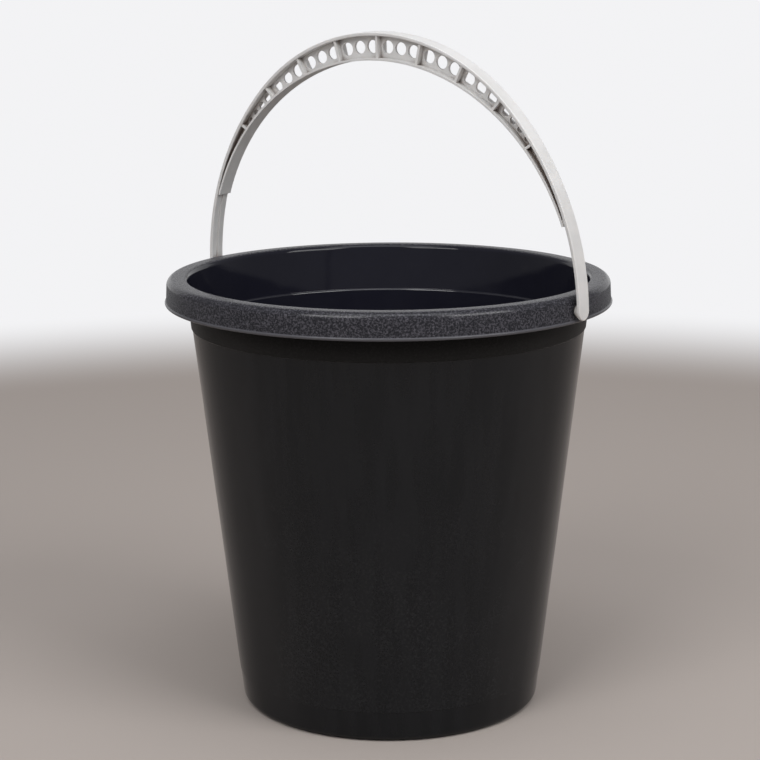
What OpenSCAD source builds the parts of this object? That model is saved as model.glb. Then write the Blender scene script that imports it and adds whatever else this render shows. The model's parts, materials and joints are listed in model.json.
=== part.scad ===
// Round tapered bucket with a turned-down rim, a plain collar and a ribbed bail handle.
// Units are millimetres. The origin is the centre of the base at floor level. +Z is up.
// X is the axis the handle turns on.

/* [Tub] */
// Height from the floor to the top of the rim
tub_height = 280; // [272:1:320]
// Radius where the flat top of the rim meets its rounded inner edge
mouth_radius = 131.4; // [130:0.2:133]
// Outside radius of the wall, carried down to floor level
base_radius = 97; // [88:0.5:105]
// Outside radius of the tapered wall where the collar starts
shoulder_radius = 125.8; // [124:0.1:126.4]
// Height where the collar starts
shoulder_height = 247.3; // [235:0.1:252]
// Thickness of the wall and the collar
wall = 1.9; // [1.5:0.1:2.4]
// How far the collar stands out from the tapered wall
collar_step = 0.8; // [0.4:0.1:1.5]
// Radius of the small ledge inside the tub, level with the collar
ledge_radius = 1; // [0.5:0.1:1.4]

/* [Rim] */
// Outside radius of the skirt just under its rounded shoulder
rim_radius = 141.5; // [139:0.1:142]
// Thickness of the rim and the skirt
rim_thickness = 2; // [1.6:0.1:2.4]
// Depth from the top of the rim to the bottom edge of the skirt
skirt_depth = 16.6; // [16:0.2:22]
// How much wider the skirt is at the bottom than at the top
skirt_flare = 0.8; // [0:0.1:1]
// Radius of the bead along the bottom edge of the skirt
lip_radius = 1.1; // [0.8:0.1:1.4]
// Radius of the shoulder between the flat top and the skirt
shoulder_round = 4.4; // [3:0.1:5]
// Radius of the inner edge of the rim
mouth_round = 3.4; // [2.6:0.1:4]

/* [Base] */
// Radius of the rounded bottom corner
foot_round = 5; // [3:0.5:7]
// Width of the flat ring the tub stands on
foot_width = 5; // [3:0.5:9]
// Height of the recess under the floor
recess_depth = 4; // [2:0.5:6]
// Thickness of the floor
floor_thickness = 2.4; // [1.8:0.1:4]
// Radius of the corner between the floor and the wall inside
inner_round = 6; // [3:0.5:9]
// Height of the shallow band round the base
band_height = 20; // [14:1:40]
// How far the band is set in from the wall
band_inset = 0.25; // [0.1:0.05:0.5]

/* [Pivot] */
// Depth of the handle's axis below the top of the rim
pivot_drop = 9.4; // [8.8:0.1:9.5]
// Radius of the pegs on the handle
peg_radius = 3.5; // [2.5:0.1:3.8]
// Radial clearance of the pegs in the skirt
peg_clearance = 0.08; // [0.04:0.01:0.1]
// Radius of the thickened pad behind each hole
pad_radius = 6.4; // [5.5:0.1:6.4]
// How far each pad reaches in behind the skirt
pad_depth = 3.2; // [2:0.1:4]
// Angle round the rim from each pivot to the webs beside it
web_angle = 3.8; // [3.6:0.1:6]

/* [Handle] */
// Height of the top of the handle above its axis
handle_rise = 163.2; // [160:0.2:175]
// Distance from the tub's centre line to the outside of each arm
handle_reach = 147; // [146.8:0.1:150]
// Lean of the handle from upright, towards -Y
handle_lean = 2.5; // [-5:0.5:5]
// Width of the handle, front to back
handle_width = 11; // [9:0.5:14]
// Thickness of the outer band
band_thickness = 2.3; // [1.8:0.1:2.6]
// Radius of the band's long edges
edge_round = 0.6; // [0.3:0.1:0.8]
// Length of the washer face inside each arm
washer_length = 1.2; // [0.8:0.1:1.2]

/* [Grip] */
// Depth of the grip at the top
grip_depth = 17.4; // [14:0.2:20]
// Radius of the grip's underside
grip_radius = 143.6; // [143.2:0.1:150]
// Angle from the top to each end of the grip
grip_angle = 80; // [74:1:82]
// Thickness of the grip's lower flange
flange_thickness = 1.4; // [1:0.1:2]
// Thickness of the web between the flanges
web_thickness = 1.6; // [1.2:0.1:3]
// Angle between neighbouring ribs
rib_pitch = 14.4; // [13:0.1:15]
// Thickness of each rib
rib_thickness = 1.6; // [1.2:0.1:2.5]
// Diameter of the holes in the deep part of the web
large_hole = 8.2; // [6:0.1:9]
// Diameter of the holes in the shallow part of the web
small_hole = 5.4; // [4:0.1:6]

/* [Hidden] */
$fn = 144;
overshoot = 1;

// Tub wall
taper = (shoulder_radius - base_radius) / shoulder_height;
slant = sqrt(1 + taper * taper);
slant_angle = atan(taper);
floor_top = recess_depth + floor_thickness;
foot_x = base_radius + taper * foot_round - band_inset - foot_round * slant;
collar_radius = shoulder_radius + collar_step;
ledge_height = shoulder_height + wall;
ledge_inner = shoulder_radius - wall + taper * wall;
collar_top = tub_height - mouth_round;
collar_top_radius = mouth_radius - mouth_round + rim_thickness;

// Rim
plate_bottom = tub_height - rim_thickness;
skirt_bottom = tub_height - skirt_depth;
skirt_top = tub_height - shoulder_round;
lip_height = skirt_bottom + lip_radius;
skirt_foot_radius = rim_radius + skirt_flare;
lip_centre = skirt_foot_radius - lip_radius / 3;
corner_radius = rim_radius - shoulder_round;
web_bottom = skirt_bottom + 1;
web_spread = 0.8;

// Pivot
pivot_height = tub_height - pivot_drop;
skirt_slope = skirt_flare / (skirt_top - lip_height);
skirt_at_pivot = rim_radius + skirt_slope * (skirt_top - pivot_height);
pad_face = skirt_at_pivot - rim_thickness - pad_depth;
pad_end = skirt_at_pivot - rim_thickness / 2;
arm_face = handle_reach - band_thickness;
washer_face = arm_face - washer_length;
washer_radius = 4.4;
head_gap = 0.4;
head_length = 2.4;
head_radius = 1.34 * peg_radius;
head_tip = 1.06 * peg_radius;

// Handle arcs: one crown arc and two side arcs that end upright at the axis, joined at an angle from the top
join_angle = 45;
join_gain = 1 / cos(join_angle) - tan(join_angle);
crown_height = (handle_rise - handle_reach) / (1 - join_gain);
crown_radius = handle_rise - crown_height;
side_radius = crown_radius + crown_height / cos(join_angle);
side_centre = crown_height * tan(join_angle);
grip_centre = handle_rise - grip_depth - grip_radius;
far = 2 * handle_rise;
lap = 0.4;
ridge_height = 0.9;
ridge_width = 1.2;
ridge_start = 2.4;
rib_setback = 0.6;
end_block = 1.8;

// Holes in the web: places counted in bays from the top, and the largest share of the web's height
large_bays = 3;
large_step = 0.31;
small_middle = 3.52;
small_step = 0.215;
last_hole = 4.2;
hole_share = 0.78;

// Outside radius of the tapered wall at height z
function wall_radius(z) = base_radius + taper * z;

// Distance from the crown centre, at an angle from the top, to a circle centred at [cx, cy]
function ray_to_circle(angle, cx, cy, radius) =
    let (dx = cx, dy = cy - crown_height)
    let (along = dx * sin(angle) + dy * cos(angle))
    along + sqrt(along * along - dx * dx - dy * dy + radius * radius);

// The same distance to the outside of the band, and to the top of the lower flange
function band_reach(angle) =
    abs(angle) <= join_angle ? crown_radius : ray_to_circle(abs(angle), -side_centre, 0, side_radius);
function flange_reach(angle) = ray_to_circle(abs(angle), 0, grip_centre, grip_radius + flange_thickness);

// Points round one corner of a strip, through a quarter turn that starts at an angle
edge_steps = 4;
function edge_point(x, y, angle) = [x + edge_round * cos(angle), y + edge_round * sin(angle)];
function edge_points(x, y, from) =
    [for (step = [0 : edge_steps]) edge_point(x, y, from + 90 * step / edge_steps)];

// Height of the open web at an angle, and the middle of it
function web_height(angle) = band_reach(angle) - band_thickness - flange_reach(angle);
function web_middle(angle) = (band_reach(angle) - band_thickness + flange_reach(angle)) / 2;

// ---------------------------------------------------------------- tub

// Everything inside the outer surface of the foot, the wall and the collar
module tub_outline() {
    tangent_x = foot_x + foot_round * cos(slant_angle);
    tangent_z = foot_round * (1 - sin(slant_angle));
    translate([foot_x, foot_round])
        circle(r = foot_round);
    polygon([
        [0, 0],
        [foot_x, 0],
        [foot_x, foot_round],
        [tangent_x, tangent_z],
        [wall_radius(band_height) - band_inset, band_height],
        [wall_radius(band_height + band_inset), band_height + band_inset],
        [shoulder_radius, shoulder_height],
        [collar_radius, shoulder_height + collar_step],
        [collar_top_radius, collar_top],
        [0, collar_top]
    ]);
}

// The space inside the tub
module tub_cavity() {
    corner_z = floor_top + inner_round;
    corner_x = wall_radius(corner_z) - wall - inner_round * slant;
    translate([corner_x, corner_z])
        circle(r = inner_round);
    polygon([
        [0, floor_top],
        [corner_x, floor_top],
        [corner_x, corner_z],
        [corner_x + inner_round * cos(slant_angle), corner_z - inner_round * sin(slant_angle)],
        [ledge_inner, ledge_height - ledge_radius],
        [ledge_inner + ledge_radius, ledge_height - ledge_radius],
        [mouth_radius - mouth_round, collar_top],
        [mouth_radius - mouth_round, tub_height],
        [0, tub_height]
    ]);
}

// The recess under the floor
module tub_recess() {
    foot_inner = foot_x - foot_width;
    polygon([
        [0, -overshoot],
        [foot_inner, -overshoot],
        [foot_inner, 0],
        [foot_inner - recess_depth / 2, recess_depth],
        [0, recess_depth]
    ]);
}

// One quarter of a ring as thick as the rim, for a rounded edge
module bend(radius, turn) {
    rotate(turn)
        difference() {
            intersection() {
                circle(r = radius);
                square(radius);
            }
            circle(r = radius - rim_thickness);
        }
}

// Flat top, both rounded edges, skirt and bead
module rim_profile() {
    translate([mouth_radius, collar_top])
        bend(mouth_round, 90);
    translate([mouth_radius, plate_bottom])
        square([corner_radius - mouth_radius, rim_thickness]);
    translate([corner_radius, skirt_top])
        bend(shoulder_round, 0);
    polygon([
        [rim_radius - rim_thickness, skirt_top],
        [skirt_foot_radius - rim_thickness, skirt_bottom],
        [lip_centre, skirt_bottom],
        [skirt_foot_radius, lip_height],
        [rim_radius, skirt_top]
    ]);
    translate([lip_centre, lip_height])
        circle(r = lip_radius);
}

// A web between the collar and the skirt
module rim_web(angle) {
    reach = shoulder_round - rim_thickness / 2;
    rotate(angle - web_spread / 2)
        rotate_extrude(angle = web_spread)
            polygon([
                [mouth_radius, tub_height - rim_thickness / 2],
                [collar_top_radius - wall / 2, collar_top],
                [collar_top_radius - wall / 2 - taper * (collar_top - web_bottom), web_bottom],
                [skirt_foot_radius - rim_thickness / 2, web_bottom],
                [corner_radius + reach, skirt_top],
                [corner_radius + reach * cos(45), skirt_top + reach * sin(45)],
                [corner_radius, skirt_top + reach]
            ]);
}

// A pad behind the skirt, on the handle's axis, on the +X side
module pivot_pad() {
    translate([pad_face, 0, pivot_height])
        rotate([0, 90, 0])
            cylinder(r = pad_radius, h = pad_end - pad_face);
}

// The hole for a peg, on the +X side
module pivot_hole() {
    translate([pad_face - overshoot, 0, pivot_height])
        rotate([0, 90, 0])
            cylinder(r = peg_radius + peg_clearance, h = skirt_foot_radius - pad_face + 2 * overshoot);
}

module tub() {
    color([0.06, 0.06, 0.065])
        difference() {
            union() {
                rotate_extrude()
                    union() {
                        difference() {
                            tub_outline();
                            tub_cavity();
                            tub_recess();
                        }
                        translate([ledge_inner + ledge_radius, ledge_height - ledge_radius])
                            circle(r = ledge_radius);
                        rim_profile();
                    }
                for (side = [0, 180])
                    rotate(side) {
                        rim_web(web_angle);
                        rim_web(-web_angle);
                        pivot_pad();
                    }
            }
            for (side = [0, 180])
                rotate(side)
                    pivot_hole();
        }
}

// ---------------------------------------------------------------- handle

// Stands a shape drawn in X and Y up in the plane of the handle
module stand() {
    rotate([90, 0, 0])
        children();
}

// A pie slice about the crown centre, between two angles from the top
module slice(from, to) {
    translate([0, crown_height])
        polygon([
            [0, 0],
            [far * sin(from), far * cos(from)],
            [far * sin((from + to) / 2), far * cos((from + to) / 2)],
            [far * sin(to), far * cos(to)]
        ]);
}

// The area between the outer band and the lower flange, reaching a little way into both
module grip_area() {
    difference() {
        union() {
            intersection() {
                translate([0, crown_height])
                    circle(r = crown_radius - band_thickness + lap);
                slice(-join_angle, join_angle);
            }
            for (side = [-1, 1])
                intersection() {
                    translate([-side * side_centre, 0])
                        circle(r = side_radius - band_thickness + lap);
                    slice(side * join_angle, side * grip_angle);
                }
        }
        translate([0, grip_centre])
            circle(r = grip_radius + flange_thickness - lap);
    }
}

// The cross-section of a flat strip with rounded long edges
module strip(inner, thickness) {
    outer = inner + thickness - edge_round;
    side = handle_width / 2 - edge_round;
    polygon(concat(
        edge_points(outer, side, 0),
        edge_points(inner + edge_round, side, 90),
        edge_points(inner + edge_round, -side, 180),
        edge_points(outer, -side, 270)
    ));
}

// The outer band: crown arc and two side arcs
module band() {
    stand()
        translate([0, crown_height, 0])
            rotate(90 - join_angle)
                rotate_extrude(angle = 2 * join_angle)
                    strip(crown_radius - band_thickness, band_thickness);
    for (side = [0, 180])
        rotate(side)
            stand()
                translate([-side_centre, 0, 0])
                    rotate_extrude(angle = 90 - join_angle)
                        strip(side_radius - band_thickness, band_thickness);
}

// The lower flange of the grip, cut off where the grip ends
module lower_flange() {
    end_reach = ray_to_circle(grip_angle, 0, grip_centre, grip_radius);
    end_angle = atan2(end_reach * sin(grip_angle), end_reach * cos(grip_angle) + crown_height - grip_centre);
    stand()
        translate([0, grip_centre, 0])
            rotate(90 - end_angle)
                rotate_extrude(angle = 2 * end_angle)
                    translate([grip_radius, -handle_width / 2])
                        square([flange_thickness, handle_width]);
}

// The web with its lightening holes, large ones in three bays and small ones beyond
module grip_web() {
    stand()
        linear_extrude(web_thickness, center = true)
            difference() {
                grip_area();
                for (side = [-1, 1]) {
                    for (bay = [0 : large_bays - 1])
                        for (step = [-1 : 1])
                            web_hole(side * (bay + 0.5 + large_step * step), large_hole);
                    for (step = [-1.5 : 1.5])
                        web_hole(side * (small_middle + small_step * step), small_hole);
                    web_hole(side * last_hole, small_hole);
                }
            }
}

// One hole in the middle of the web, at a place counted in bays from the top
module web_hole(place, size) {
    angle = rib_pitch * place;
    translate([web_middle(angle) * sin(angle), crown_height + web_middle(angle) * cos(angle)])
        circle(d = min(size, hole_share * web_height(angle)));
}

// The ribs that cross the web on both sides, and the solid end of each side of the grip
module grip_ribs() {
    stand()
        linear_extrude(handle_width - 2 * rib_setback, center = true)
            intersection() {
                grip_area();
                union() {
                    for (rib = [-4 : 4])
                        translate([0, crown_height])
                            rotate(-rib * rib_pitch)
                                translate([-rib_thickness / 2, 0])
                                    square([rib_thickness, handle_rise]);
                    for (side = [-1, 1])
                        slice(side * (grip_angle - end_block), side * grip_angle);
                }
            }
}

// The cross-section of an arm's rounded tip, from its axis outwards
module tip_profile() {
    side = handle_width / 2 - edge_round;
    polygon(concat(
        [[0, 0]],
        edge_points(side, edge_round, 270),
        edge_points(side, band_thickness - edge_round, 0),
        [[0, band_thickness]]
    ));
}

// The half disc that finishes an arm below its axis
module arm_tip() {
    translate([arm_face, 0, 0])
        rotate([0, 90, 0])
            rotate(-90)
                rotate_extrude(angle = 180)
                    tip_profile();
}

// The low ridge down the inside of an arm, from the grip to the washer face
module arm_ridge() {
    reach = band_reach(grip_angle);
    end_angle = atan2(reach * cos(grip_angle) + crown_height, reach * sin(grip_angle) + side_centre);
    stand()
        translate([-side_centre, 0, 0])
            rotate(ridge_start)
                rotate_extrude(angle = end_angle - ridge_start)
                    translate([side_radius - band_thickness - ridge_height, -ridge_width / 2])
                        square([ridge_height + lap, ridge_width]);
}

// Washer face, peg and the head that keeps the peg in the skirt
module arm_peg() {
    head_start = pad_face - head_gap - head_length;
    rotate([0, 90, 0]) {
        translate([0, 0, washer_face])
            cylinder(r = washer_radius, h = washer_length + lap);
        translate([0, 0, head_start])
            cylinder(r = peg_radius, h = arm_face + lap - head_start);
        translate([0, 0, head_start])
            cylinder(r1 = head_tip, r2 = head_radius, h = head_length);
    }
}

module handle() {
    color([0.8, 0.8, 0.79])
        translate([0, 0, pivot_height])
            rotate([handle_lean, 0, 0]) {
                band();
                lower_flange();
                grip_web();
                grip_ribs();
                for (side = [0, 180])
                    rotate(side) {
                        arm_tip();
                        arm_ridge();
                        arm_peg();
                    }
            }
}

tub();
handle();
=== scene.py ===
"""Looks of a black plastic bucket with a light grey bail handle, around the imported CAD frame."""
import json
import math

import bmesh
import bpy
from mathutils import Euler, Matrix, Vector

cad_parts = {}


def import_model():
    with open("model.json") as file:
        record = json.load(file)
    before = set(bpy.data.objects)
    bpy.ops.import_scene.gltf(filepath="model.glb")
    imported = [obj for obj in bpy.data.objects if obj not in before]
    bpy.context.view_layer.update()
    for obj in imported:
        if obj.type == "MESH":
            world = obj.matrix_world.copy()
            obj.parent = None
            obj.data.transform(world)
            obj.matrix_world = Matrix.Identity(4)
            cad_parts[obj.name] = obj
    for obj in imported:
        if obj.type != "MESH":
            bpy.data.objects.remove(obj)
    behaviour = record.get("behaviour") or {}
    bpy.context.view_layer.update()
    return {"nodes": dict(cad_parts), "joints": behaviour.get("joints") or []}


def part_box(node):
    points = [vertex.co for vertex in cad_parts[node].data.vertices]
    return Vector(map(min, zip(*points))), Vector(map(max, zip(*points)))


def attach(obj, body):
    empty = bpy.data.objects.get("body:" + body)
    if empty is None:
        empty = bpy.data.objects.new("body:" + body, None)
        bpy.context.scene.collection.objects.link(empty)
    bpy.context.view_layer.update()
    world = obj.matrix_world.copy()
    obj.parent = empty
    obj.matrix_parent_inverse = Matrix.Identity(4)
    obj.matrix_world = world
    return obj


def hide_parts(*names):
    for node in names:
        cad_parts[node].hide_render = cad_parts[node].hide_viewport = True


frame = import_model()

MM = 0.001
handle = frame["nodes"]["handle"]
tub_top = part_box("tub")[1].z
pivot_height = frame["joints"][0]["pos_m"][2]


# ---------------------------------------------------------------- shader building

class Shader:
    """A material's node tree. Most calls add one node and return its output socket."""

    def __init__(self, name):
        self.material = bpy.data.materials.new(name)
        self.material.use_nodes = True
        self.tree = self.material.node_tree
        self.tree.nodes.clear()
        self.surface = self.tree.nodes.new("ShaderNodeBsdfPrincipled")
        output = self.tree.nodes.new("ShaderNodeOutputMaterial")
        self.tree.links.new(self.surface.outputs[0], output.inputs["Surface"])

    def put(self, socket, value):
        """Links an output socket to an input, or sets the input's own value."""
        if isinstance(value, bpy.types.NodeSocket):
            self.tree.links.new(value, socket)
        else:
            socket.default_value = value

    def add(self, kind, inputs, output=0, **settings):
        """Any shader node, with its inputs by name or number and its settings by name."""
        node = self.tree.nodes.new("ShaderNode" + kind)
        for name, value in settings.items():
            setattr(node, name, value)
        for name, value in inputs.items():
            self.put(node.inputs[name], value)
        return node.outputs[output]

    def place(self):
        """The point's place in the shared frame at rest, in metres, which rides with the piece."""
        return self.add("TexCoord", {}, output="Object")

    def split(self, vector):
        """The x, y and z of a vector."""
        node = self.tree.nodes.new("ShaderNodeSeparateXYZ")
        self.put(node.inputs[0], vector)
        return node.outputs

    def math(self, operation, first, second=0.0, third=0.0):
        return self.add("Math", {0: first, 1: second, 2: third}, operation=operation)

    def both(self, first, second):
        """A mask where two masks meet."""
        return self.math("MULTIPLY", first, second)

    def outside(self, mask):
        """A mask of everywhere that another mask is not."""
        return self.math("SUBTRACT", 1.0, mask)

    def rise(self, value, low, high, bottom=0.0, top=1.0):
        """A smooth step from bottom to top as value goes from low to high."""
        inputs = {"Value": value, "From Min": low, "From Max": high, "To Min": bottom, "To Max": top}
        return self.add("MapRange", inputs, interpolation_type="SMOOTHSTEP")

    def mix(self, share, first, second):
        """A number between two others."""
        return self.add("Mix", {0: share, 2: first, 3: second}, data_type="FLOAT")

    def tint(self, share, first, second):
        """A colour between two others."""
        return self.add("Mix", {0: share, 6: first, 7: second}, output=2, data_type="RGBA")

    def stretch(self, vector, scale):
        return self.add("Mapping", {"Vector": vector, "Scale": scale})

    def noise(self, vector, size, detail=2.0, roughness=0.5):
        """Cloudy noise whose lumps are about this size in metres."""
        inputs = {"Vector": vector, "Scale": 1.0 / size, "Detail": detail, "Roughness": roughness}
        return self.add("TexNoise", inputs)

    def bump(self, height, depth, strength=1.0, normal=None):
        inputs = {"Height": height, "Distance": depth, "Strength": strength}
        if normal is not None:
            inputs["Normal"] = normal
        return self.add("Bump", inputs)


def colour(red, green, blue):
    return (red, green, blue, 1.0)


def use(node, material):
    """Gives a CAD node this material in all its slots."""
    for slot in node.material_slots:
        slot.material = material


# ---------------------------------------------------------------- outlines and meshes

def arc(centre_x, centre_z, radius, start, end, steps=8):
    """Points along an arc, between two angles in degrees."""
    turns = [math.radians(start + (end - start) * i / steps) for i in range(steps + 1)]
    return [(centre_x + radius * math.cos(t), centre_z + radius * math.sin(t), 0.0) for t in turns]


def rounded(corners, steps=6):
    """An outline with each (x, z, radius) corner rounded by an arc of that radius."""
    points = []
    last = len(corners) - 1
    for i, (x, z, radius) in enumerate(corners):
        corner = Vector((x, z))
        if radius == 0 or i in (0, last):
            points.append(corner)
            continue
        before = (Vector(corners[i - 1][:2]) - corner).normalized()
        after = (Vector(corners[i + 1][:2]) - corner).normalized()
        half = before.angle(after) / 2
        centre = corner + (before + after).normalized() * (radius / math.sin(half))
        start = corner + before * (radius / math.tan(half)) - centre
        turn = start.angle_signed(corner + after * (radius / math.tan(half)) - centre)
        for step in range(steps + 1):
            spoke = start.copy()
            spoke.rotate(Matrix.Rotation(-turn * step / steps, 2))
            points.append(centre + spoke)
    return points


def lathe(name, outline, segments):
    """A closed solid turned about Z from an outline in millimetres that starts and ends on the axis."""
    mesh = bpy.data.meshes.new(name)
    verts = [(0, 0, outline[0].y * MM), (0, 0, outline[-1].y * MM)]
    turned = outline[1:-1]
    for i in range(segments):
        t = 2 * math.pi * i / segments
        verts += [(p.x * MM * math.cos(t), p.x * MM * math.sin(t), p.y * MM) for p in turned]
    count = len(turned)
    faces = []
    for i in range(segments):
        here = 2 + i * count
        there = 2 + (i + 1) % segments * count
        faces.append((0, there, here))
        faces += [(here + k, there + k, there + k + 1, here + k + 1) for k in range(count - 1)]
        faces.append((1, here + count - 1, there + count - 1))
    mesh.from_pydata(verts, [], faces)
    return add_object(name, mesh)


def add_object(name, mesh):
    piece = bpy.data.objects.new(name, mesh)
    bpy.context.scene.collection.objects.link(piece)
    return piece


def disc(name, radius, start, end, height, segments=96):
    """A cylinder along X, in millimetres, between two places, at a height above the floor."""
    mesh = bpy.data.meshes.new(name)
    ring = [2 * math.pi * i / segments for i in range(segments)]
    section = [(radius * math.cos(t), height + radius * math.sin(t)) for t in ring]
    verts = [(x * MM, y * MM, z * MM) for x in (start, end) for y, z in section]
    faces = [(i, (i + 1) % segments, segments + (i + 1) % segments, segments + i) for i in range(segments)]
    faces += [tuple(reversed(range(segments))), tuple(range(segments, 2 * segments))]
    mesh.from_pydata(verts, [], faces)
    return outward(add_object(name, mesh))


def outward(piece):
    """Turns every face of a closed piece outwards."""
    shape = bmesh.new()
    shape.from_mesh(piece.data)
    bmesh.ops.recalc_face_normals(shape, faces=shape.faces)
    shape.to_mesh(piece.data)
    shape.free()
    return piece


def combine(piece, operation, others):
    """Joins other solids to a piece or cuts them from it, and removes them."""
    group = bpy.data.collections.new(piece.name + "_" + operation.lower())
    for other in others:
        group.objects.link(other)
    modifier = piece.modifiers.new(operation, "BOOLEAN")
    modifier.operation = operation
    modifier.solver = "EXACT"
    modifier.operand_type = "COLLECTION"
    modifier.collection = group
    bpy.context.view_layer.update()
    result = bpy.data.meshes.new_from_object(piece.evaluated_get(bpy.context.evaluated_depsgraph_get()))
    piece.modifiers.clear()
    piece.data = result
    for other in others:
        bpy.data.objects.remove(other)
    bpy.data.collections.remove(group)


def soften(piece, angle):
    """Smooth shading, with a crease wherever faces meet at more than this angle in degrees."""
    for face in piece.data.polygons:
        face.use_smooth = True
    piece.data.set_sharp_from_angle(angle=math.radians(angle))


PLASTIC_IOR = 1.49


# ---------------------------------------------------------------- tub, in millimetres

TUB_HEIGHT = round(tub_top / MM, 3)
MOUTH_RADIUS = 128.0
BASE_RADIUS = 97.0
SHOULDER_RADIUS = 125.8
SHOULDER_HEIGHT = 247.3
WALL = 1.9
COLLAR_STEP = 0.8
LEDGE_RADIUS = 1.0
RIM_RADIUS = 141.5
RIM_THICKNESS = 2.0
SKIRT_BOTTOM = 263.4
SKIRT_FLARE = 0.8
LIP_RADIUS = 1.1
MOUTH_ROUND = 3.4
SHOULDER_ROUND = 4.4
FOOT_ROUND = 5.0
FOOT_INNER = 87.3
RECESS = 4.0
FLOOR_TOP = 6.4
INNER_ROUND = 6.0
BAND_HEIGHT = 20.0
BAND_INSET = 0.25
BAND_EDGE = 0.1
SOFT_EDGE = 0.3
# Keeps the bead, which has finer facets than the CAD mesh, inside the CAD box
HAIR = 0.003
PEG_HOLE = 3.58
PAD_RADIUS = 6.4
PAD_FACE = 136.7
PAD_END = 140.9
WEB_ANGLE = 3.8
WEB_SPREAD = 0.8
TAPER = (SHOULDER_RADIUS - BASE_RADIUS) / SHOULDER_HEIGHT
PIVOT_HEIGHT = pivot_height / MM
SEGMENTS = 288
CREASE = 32


def wall_radius(z):
    return BASE_RADIUS + TAPER * z


def tub_outline():
    """The tub's section, from the middle of the underside, round the outside, to the middle of the floor."""
    skirt_foot = RIM_RADIUS + SKIRT_FLARE
    lip_centre = skirt_foot - LIP_RADIUS / 3 - HAIR
    ledge_top = SHOULDER_HEIGHT + WALL
    ledge_inner = SHOULDER_RADIUS - WALL + TAPER * WALL
    corners = [
        (0, RECESS, 0),
        (FOOT_INNER - RECESS / 2, RECESS, 1),
        (FOOT_INNER, 0, SOFT_EDGE),
        (wall_radius(0) - BAND_INSET, 0, FOOT_ROUND),
        (wall_radius(BAND_HEIGHT) - BAND_INSET, BAND_HEIGHT, BAND_EDGE),
        (wall_radius(BAND_HEIGHT + BAND_INSET), BAND_HEIGHT + BAND_INSET, BAND_EDGE),
        (SHOULDER_RADIUS, SHOULDER_HEIGHT, SOFT_EDGE),
        (SHOULDER_RADIUS + COLLAR_STEP, SHOULDER_HEIGHT + COLLAR_STEP, SOFT_EDGE),
        (MOUTH_RADIUS + RIM_THICKNESS, TUB_HEIGHT - RIM_THICKNESS, MOUTH_ROUND - RIM_THICKNESS),
        (RIM_RADIUS - RIM_THICKNESS, TUB_HEIGHT - RIM_THICKNESS, SHOULDER_ROUND - RIM_THICKNESS),
        (skirt_foot - RIM_THICKNESS, SKIRT_BOTTOM, SOFT_EDGE),
    ]
    corners += arc(lip_centre, SKIRT_BOTTOM + LIP_RADIUS, LIP_RADIUS, -90, 66, 14)
    corners += [
        (skirt_foot - 0.1, SKIRT_BOTTOM + 2 * LIP_RADIUS, 0),
        (RIM_RADIUS, TUB_HEIGHT, SHOULDER_ROUND),
        (MOUTH_RADIUS + SOFT_EDGE, TUB_HEIGHT, MOUTH_ROUND),
        (ledge_inner + LEDGE_RADIUS + 0.1, ledge_top, SOFT_EDGE),
    ]
    corners += arc(ledge_inner + LEDGE_RADIUS, ledge_top - LEDGE_RADIUS, LEDGE_RADIUS, 90, 180)
    corners += [
        (wall_radius(FLOOR_TOP) - WALL, FLOOR_TOP, INNER_ROUND),
        (0, FLOOR_TOP, 0),
    ]
    return rounded(corners)


def rim_web(name, angle):
    """A thin web that joins the collar to the skirt, at an angle round the rim."""
    low = SKIRT_BOTTOM + 1
    high = TUB_HEIGHT - MOUTH_ROUND
    top = TUB_HEIGHT - RIM_THICKNESS / 2
    collar = MOUTH_RADIUS + RIM_THICKNESS - WALL / 2
    corner = Vector((RIM_RADIUS - SHOULDER_ROUND, TUB_HEIGHT - SHOULDER_ROUND))
    bend = [corner + Vector((math.cos(t), math.sin(t))) * (SHOULDER_ROUND - RIM_THICKNESS / 2)
            for t in (0, math.pi / 4, math.pi / 2)]
    section = [
        (MOUTH_RADIUS + MOUTH_ROUND, top),
        (collar, high),
        (collar - TAPER * (high - low), low),
        (RIM_RADIUS + SKIRT_FLARE - RIM_THICKNESS / 2, low),
    ] + [tuple(point) for point in bend]
    verts = []
    for turn in (angle - WEB_SPREAD / 2, angle + WEB_SPREAD / 2):
        t = math.radians(turn)
        verts += [(x * MM * math.cos(t), x * MM * math.sin(t), z * MM) for x, z in section]
    count = len(section)
    faces = [tuple(range(count)), tuple(reversed(range(count, 2 * count)))]
    faces += [(i, (i + 1) % count, count + (i + 1) % count, count + i) for i in range(count)]
    mesh = bpy.data.meshes.new(name)
    mesh.from_pydata(verts, [], faces)
    return outward(add_object(name, mesh))


def tub_shell():
    """The whole tub as one fine mesh, with the peg holes, their pads and the webs beside them."""
    shell = lathe("tub_shell", tub_outline(), SEGMENTS)
    outward(shell)
    extras = []
    holes = []
    for side in (-1, 1):
        extras.append(disc(f"pad_{side}", PAD_RADIUS, side * PAD_FACE, side * PAD_END, PIVOT_HEIGHT))
        ends = (side * (PAD_FACE - 1), side * (RIM_RADIUS + 2))
        holes.append(disc(f"hole_{side}", PEG_HOLE, *ends, PIVOT_HEIGHT))
        for turn in (-WEB_ANGLE, WEB_ANGLE):
            extras.append(rim_web(f"web_{side}_{turn}", turn + (0 if side > 0 else 180)))
    combine(shell, "UNION", extras)
    combine(shell, "DIFFERENCE", holes)
    soften(shell, CREASE)
    return shell


# Sizes of the moulded and worn textures, in millimetres
GRAIN_SIZE = 1.15
SKIN_SIZE = 0.9
DUST_SIZE = 1.6
STREAK_SIZE = 9
RIPPLE_SIZE = 26
CLOUD_SIZE = 45


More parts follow.
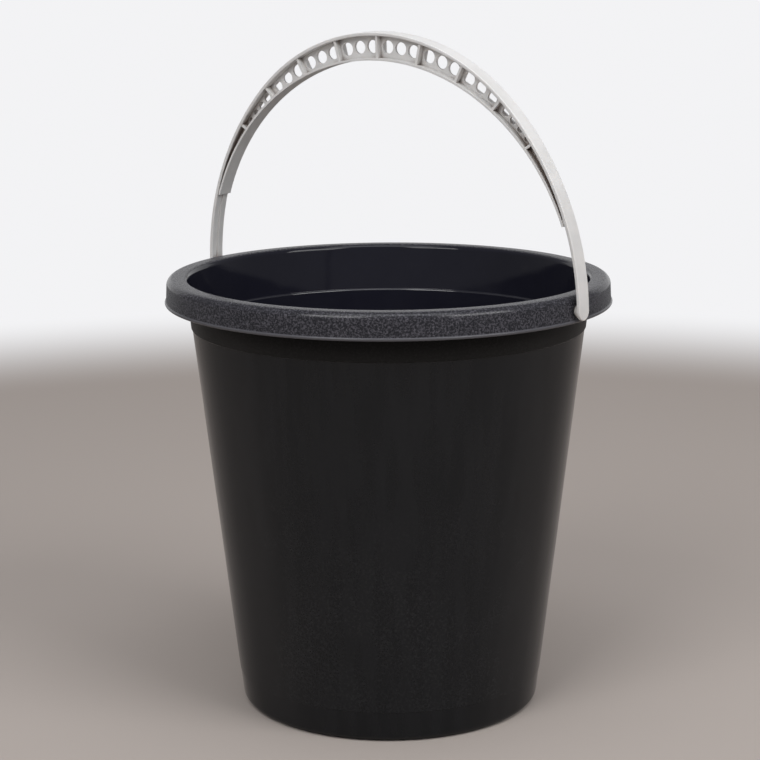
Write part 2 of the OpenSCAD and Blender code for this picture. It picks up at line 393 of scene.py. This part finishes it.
def tub_zones(s, place):
    """Masks for the parts of the tub that look different, each from the height and the radius."""
    x, y, z = s.split(place)
    radius = s.math("SQRT", s.math("ADD", s.math("MULTIPLY", x, x), s.math("MULTIPLY", y, y)))

    def height(start, full):
        """A mask that grows from one height in millimetres to another, upwards or downwards."""
        return s.rise(z, start * MM, full * MM)

    def beyond(start, full):
        """A mask that grows outwards from one radius in millimetres to another."""
        return s.rise(radius, start * MM, full * MM)

    blur = 0.15 * MM
    upper = height(SHOULDER_HEIGHT, SHOULDER_HEIGHT + 0.3)
    middle = s.math("MULTIPLY_ADD", z, TAPER, (BASE_RADIUS - WALL / 2) * MM)
    middle = s.math("MULTIPLY_ADD", upper, COLLAR_STEP * MM, middle)
    within = s.rise(s.math("SUBTRACT", middle, radius), -blur, blur)
    inside = s.both(within, height(FLOOR_TOP - 1.5, FLOOR_TOP - 1))
    grained = s.both(upper, s.outside(inside))

    outer = beyond(RIM_RADIUS - 0.8 * SHOULDER_ROUND, RIM_RADIUS - 0.4 * SHOULDER_ROUND)
    bead = height(SKIRT_BOTTOM + 2.2 * LIP_RADIUS, SKIRT_BOTTOM + 1.6 * LIP_RADIUS)
    shoulder = height(TUB_HEIGHT - 0.9 * SHOULDER_ROUND, TUB_HEIGHT - 0.6 * SHOULDER_ROUND)
    between = beyond(RIM_RADIUS - 3 * RIM_THICKNESS, RIM_RADIUS - 2 * RIM_THICKNESS)
    flat_top = height(TUB_HEIGHT - 1.1 * RIM_THICKNESS, TUB_HEIGHT - 0.8 * RIM_THICKNESS)
    rim = s.math("MAXIMUM", between, flat_top)

    ledge_foot = height(SHOULDER_HEIGHT + 0.4, SHOULDER_HEIGHT + 0.8)
    ledge_head = height(SHOULDER_HEIGHT + 2.3, SHOULDER_HEIGHT + 2.0)
    # Painted shade: the collar just under the skirt and the rounded foot mirror less, for the skirt's shade
    # and a contact shadow at the foot
    under_skirt = s.both(s.both(s.outside(rim), grained),
                         s.rise(z, SHOULDER_HEIGHT * MM, SKIRT_BOTTOM * MM, 0.25, 1.0))
    foot = s.both(height(0.5 * FOOT_ROUND, 0.1 * FOOT_ROUND), s.outside(inside))
    band = height(BAND_HEIGHT, BAND_HEIGHT + BAND_INSET)
    return {
        "inside": inside,
        "grained": grained,
        "rim": rim,
        "bead": s.both(outer, bead),
        "skirt_edge": s.both(outer, s.math("MAXIMUM", bead, shoulder)),
        "ledge": s.both(s.both(ledge_foot, ledge_head), inside),
        "painted_shade": s.math("MAXIMUM", under_skirt, foot),
        "above_band": band,
        "dusty": s.both(band, s.rise(z, 210 * MM, 60 * MM, 0.15, 1.0)),
    }


def tub_roughness(s, zone, grain, streaks, clouds):
    """Satin outside, gloss inside, the brightest gloss on the ledge, and matt grain on the rim."""
    satin = s.math("ADD", s.rise(clouds, 0.3, 0.7, 0.10, 0.15), s.rise(streaks, 0.35, 0.65, 0.0, 0.04))
    satin = s.mix(zone["above_band"], 0.09, satin)
    gloss = s.mix(zone["ledge"], s.rise(clouds, 0.3, 0.7, 0.05, 0.08), 0.03)
    matt = s.mix(zone["rim"], 0.42, s.rise(grain, 0.4, 0.6, 0.24, 0.34))
    matt = s.mix(zone["skirt_edge"], matt, 0.16)
    return s.mix(zone["grained"], s.mix(zone["inside"], satin, gloss), matt)


def tub_colour(s, zone, place, grain, streaks, clouds):
    """Near black, with a little dust low on the wall, a paler grained rim, a pale bead that paints part of
    its highlight line, and a bluer inside.
    """
    dust = s.noise(place, DUST_SIZE * MM, detail=3.0, roughness=0.75)
    dust_share = s.both(s.rise(dust, 0.45, 0.70), s.rise(clouds, 0.35, 0.65, 0.25, 1.0))
    streaked = s.rise(streaks, 0.35, 0.65)
    black = s.tint(streaked, colour(0.0052, 0.0062, 0.0078), colour(0.0078, 0.0088, 0.0106))
    wall = s.tint(s.both(dust_share, zone["dusty"]), black, colour(0.019, 0.020, 0.022))
    specks = s.rise(grain, 0.46, 0.66)
    rim = s.tint(specks, colour(0.018, 0.018, 0.022), colour(0.096, 0.092, 0.108))
    # Painted highlight: the bead is an even pale colour, brighter than the grained rim, to brighten the
    # highlight line along it
    rim = s.tint(zone["bead"], rim, colour(0.085, 0.083, 0.092))
    collar = s.tint(specks, colour(0.003, 0.003, 0.003), colour(0.009, 0.009, 0.009))
    clouded = s.rise(clouds, 0.3, 0.7)
    inner = s.tint(clouded, colour(0.0100, 0.0100, 0.0165), colour(0.0125, 0.0125, 0.0195))
    outer = s.tint(zone["grained"], wall, s.tint(zone["rim"], collar, rim))
    return s.tint(zone["inside"], outer, inner)


def tub_sheen(s, zone):
    """How strongly the surface mirrors: less where it turns away, least under the skirt and on the foot as
    painted shade, and most on the ledge as a painted highlight.
    """
    turned_away = s.add("LayerWeight", {"Blend": 0.5}, output="Facing")
    sheen = s.mix(zone["inside"], s.rise(turned_away, 0.36, 0.62, 0.28, 0.14), 0.29)
    # Painted highlight: the ledge mirrors about three times as strongly as the rest of the plastic, to
    # brighten its highlight line
    return s.mix(zone["ledge"], s.mix(zone["painted_shade"], sheen, 0.07), 0.85)


def tub_relief(s, zone, place, grain):
    """Slow ripples and a fine skin all over, with the spark-eroded grain on the rim and the collar."""
    ripple = s.bump(s.noise(place, RIPPLE_SIZE * MM, detail=1.0), 0.35 * MM, 0.35)
    skin = s.bump(s.noise(place, SKIN_SIZE * MM, detail=2.0), 0.012 * MM, 0.6, ripple)
    depth = s.both(zone["grained"], s.outside(s.both(zone["skirt_edge"], 0.9)))
    return s.bump(grain, 0.16 * MM, depth, skin)


def tub_material():
    """Black polypropylene: satin outside, glossy inside, spark-eroded on the rim and the collar."""
    s = Shader("tub_black_plastic")
    place = s.place()
    zone = tub_zones(s, place)
    grain = s.noise(place, GRAIN_SIZE * MM, detail=3.0, roughness=0.75)
    streaks = s.noise(s.stretch(place, (1.0, 1.0, 0.08)), STREAK_SIZE * MM, detail=4.0)
    clouds = s.noise(place, CLOUD_SIZE * MM, detail=5.0, roughness=0.6)
    surface = s.surface.inputs
    s.put(surface["Base Color"], tub_colour(s, zone, place, grain, streaks, clouds))
    s.put(surface["Roughness"], tub_roughness(s, zone, grain, streaks, clouds))
    s.put(surface["Specular IOR Level"], tub_sheen(s, zone))
    s.put(surface["Normal"], tub_relief(s, zone, place, grain))
    surface["IOR"].default_value = PLASTIC_IOR
    return s.material


shell = tub_shell()
shell.data.materials.clear()
shell.data.materials.append(tub_material())
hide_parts("tub")
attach(shell, "tub")


# ---------------------------------------------------------------- handle

def handle_material():
    """Light grey polypropylene with soft edges, a fine moulded skin and shade painted dark brown into its
    recesses.
    """
    s = Shader("handle_grey_plastic")
    place = s.place()
    clouds = s.noise(place, 18 * MM, detail=4.0, roughness=0.55)
    skin = s.noise(place, 0.7 * MM, detail=3.0, roughness=0.6)
    grey = s.tint(s.rise(clouds, 0.3, 0.7), colour(0.70, 0.69, 0.677), colour(0.765, 0.753, 0.74))
    # Painted shade: a dark brown tint wherever ambient occlusion finds the surface closed in, as in the
    # channel under the flange
    open_share = s.add("AmbientOcclusion", {"Distance": 8 * MM}, output="AO", samples=8)
    painted_recess_shade = s.rise(open_share, 0.62, 0.16)
    s.put(s.surface.inputs["Base Color"], s.tint(painted_recess_shade, grey, colour(0.20, 0.155, 0.13)))
    s.put(s.surface.inputs["Roughness"], s.rise(clouds, 0.3, 0.7, 0.36, 0.46))
    s.surface.inputs["IOR"].default_value = PLASTIC_IOR
    s.surface.inputs["Subsurface Weight"].default_value = 0.15
    s.surface.inputs["Subsurface Radius"].default_value = (1.0, 0.9, 0.8)
    s.surface.inputs["Subsurface Scale"].default_value = 1.2 * MM
    edges = s.add("Bevel", {"Radius": 0.3 * MM}, samples=6)
    s.put(s.surface.inputs["Normal"], s.bump(skin, 0.02 * MM, 0.7, edges))
    return s.material


use(handle, handle_material())


# ---------------------------------------------------------------- floor and light

FLOOR_REACH = 12.0
FLOOR_GREY = colour(0.450, 0.400, 0.368)
PALE = colour(0.895, 0.895, 0.91)
GREY_RADIUS = 1.0
PALE_RADIUS = 1.45
FLOOR_GLOW = 0.35


def floor():
    """A plain floor that turns from light grey to the surround's white far from the bucket."""
    mesh = bpy.data.meshes.new("floor")
    corners = [(-1, -1), (1, -1), (1, 1), (-1, 1)]
    mesh.from_pydata([(a * FLOOR_REACH, b * FLOOR_REACH, 0.0) for a, b in corners], [], [(0, 1, 2, 3)])
    sheet = add_object("floor", mesh)
    s = Shader("floor_paper")
    reach = s.add("VectorMath", {0: s.place()}, output="Value", operation="LENGTH")
    pale = s.rise(reach, GREY_RADIUS, PALE_RADIUS)
    s.put(s.surface.inputs["Base Color"], s.tint(pale, FLOOR_GREY, colour(0, 0, 0)))
    seen = s.add("LightPath", {}, output="Is Camera Ray")
    s.put(s.surface.inputs["Emission Strength"], s.math("MULTIPLY", pale, s.mix(seen, FLOOR_GLOW, 1.0)))
    s.surface.inputs["Emission Color"].default_value = PALE
    s.surface.inputs["Roughness"].default_value = 0.85
    s.surface.inputs["Specular IOR Level"].default_value = 0.0
    mesh.materials.append(s.material)


def softbox(name, azimuth, elevation, distance, width, height, radiance, tint=(1.0, 1.0, 1.0)):
    """A rectangular lamp that faces the middle of the bucket, seen from it at an azimuth and an elevation."""
    data = bpy.data.lights.new(name, "AREA")
    data.shape = "RECTANGLE"
    data.size = width
    data.size_y = height
    data.energy = radiance * math.pi * width * height
    data.color = tint
    lamp = bpy.data.objects.new(name, data)
    bpy.context.scene.collection.objects.link(lamp)
    a = math.radians(azimuth)
    e = math.radians(elevation)
    towards = Vector((math.sin(a) * math.cos(e), -math.cos(a) * math.cos(e), math.sin(e)))
    aim = Vector((0.0, 0.0, tub_top / 2))
    lamp.location = aim + towards * distance
    lamp.rotation_euler = towards.to_track_quat("Z", "Y").to_euler()
    lamp.visible_camera = False


def world(seen, felt):
    """An even pale surround: white to the camera, dimmer as light on the bucket."""
    surround = bpy.data.worlds.new("surround")
    bpy.context.scene.world = surround
    surround.use_nodes = True
    tree = surround.node_tree
    tree.nodes.clear()
    output = tree.nodes.new("ShaderNodeOutputWorld")
    mix = tree.nodes.new("ShaderNodeMixShader")
    ray = tree.nodes.new("ShaderNodeLightPath")
    tree.links.new(ray.outputs["Is Camera Ray"], mix.inputs[0])
    for index, (tint, strength) in enumerate([felt, seen]):
        light = tree.nodes.new("ShaderNodeBackground")
        light.inputs["Color"].default_value = tint
        light.inputs["Strength"].default_value = strength
        tree.links.new(light.outputs[0], mix.inputs[1 + index])
    tree.links.new(mix.outputs[0], output.inputs["Surface"])


VIEW_AZIMUTH = 36.9

floor()
world(seen=(PALE, 1.0), felt=(colour(0.97, 0.97, 1.0), 0.29))
softbox("top_light", VIEW_AZIMUTH + 8, 74, 2.2, 1.5, 1.2, 2.5, (0.95, 0.97, 1.0))
softbox("right_light", VIEW_AZIMUTH + 50, 38, 2.4, 1.3, 1.1, 4.9)
softbox("left_light", VIEW_AZIMUTH - 31, 42, 2.4, 1.1, 1.1, 5.2)
softbox("back_light", VIEW_AZIMUTH + 180, 16, 2.2, 4.6, 1.4, 0.50)


# ---------------------------------------------------------------- camera

SENSOR = 36.0
LENS = 101.9
CAMERA_PLACE = Vector((0.8132, -1.0926, 0.5017))
CAMERA_PITCH = 12.07
CAMERA_ROLL = -0.295


def camera():
    data = bpy.data.cameras.new("camera")
    data.sensor_width = SENSOR
    data.lens = LENS
    data.clip_start = 0.05
    data.clip_end = 40.0
    eye = bpy.data.objects.new("camera", data)
    bpy.context.scene.collection.objects.link(eye)
    aim = Euler((math.radians(90 - CAMERA_PITCH), 0.0, math.radians(VIEW_AZIMUTH))).to_matrix()
    roll = Matrix.Rotation(math.radians(CAMERA_ROLL), 3, "Z")
    eye.rotation_euler = (aim @ roll).to_euler()
    eye.location = CAMERA_PLACE
    bpy.context.scene.camera = eye


camera()
bpy.context.scene.view_settings.view_transform = "Standard"

bpy.context.view_layer.update()
